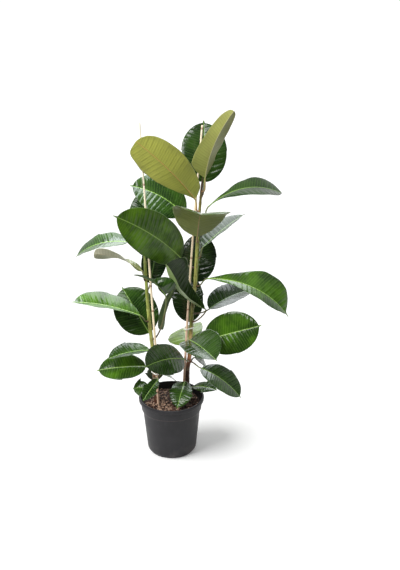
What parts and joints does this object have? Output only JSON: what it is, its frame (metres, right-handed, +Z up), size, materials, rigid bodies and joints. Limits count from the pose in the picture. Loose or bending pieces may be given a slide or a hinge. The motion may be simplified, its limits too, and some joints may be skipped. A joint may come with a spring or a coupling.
{
  "type": "potted rubber plant",
  "caption": "Tall rubber plant with two staked stems and broad glossy oval leaves, growing in a black plastic nursery pot.",
  "frame": {"origin": "middle of the pot's underside, on the surface the pot stands on", "axes": "+Z up along the pot's axis and the stems, +X to the right as seen from the front, -Y to the front"},
  "size_m": [0.66, 0.3455, 1.0921],
  "materials": {
    "pot_plastic": "satin",
    "soil": "matte",
    "stem_bark": "matte",
    "bamboo": "satin",
    "tie_plastic": "satin",
    "leaf": "satin",
    "young_leaf": "satin"
  },
  "bodies": {
    "root": {"cane_left": "bamboo", "cane_right": "bamboo", "left_leaf_broad": "leaf", "left_leaf_cross": "leaf", "left_leaf_crown": "leaf", "left_leaf_drooping": "leaf", "left_leaf_folded": "leaf", "left_leaf_khaki": "leaf", "left_leaf_long": "leaf", "left_leaf_lowest": "leaf", "left_leaf_narrow": "leaf", "left_leaf_rear": "leaf", "left_leaf_rear_small": "leaf", "left_leaf_round": "leaf", "left_leaf_short": "leaf", "pot": "pot_plastic", "right_leaf_arching": "leaf", "right_leaf_back": "leaf", "right_leaf_broad": "leaf", "right_leaf_folded": "leaf", "right_leaf_front_left": "leaf", "right_leaf_gold": "young_leaf", "right_leaf_grey": "leaf", "right_leaf_inner": "leaf", "right_leaf_low_rear": "leaf", "right_leaf_low_right": "leaf", "right_leaf_olive": "young_leaf", "right_leaf_oval": "leaf", "right_leaf_over_rim": "leaf", "right_leaf_rear": "leaf", "right_leaf_rear_left": "leaf", "right_leaf_shade": "leaf", "right_leaf_side": "leaf", "right_leaf_small": "leaf", "right_leaf_tall": "young_leaf", "right_leaf_under": "leaf", "right_leaf_upturned": "leaf", "right_leaf_yellow": "leaf", "soil": "soil", "stem_left": "stem_bark", "stem_right": "stem_bark", "tie_left": "tie_plastic", "tie_right": "tie_plastic"}
  },
  "joints": []
}
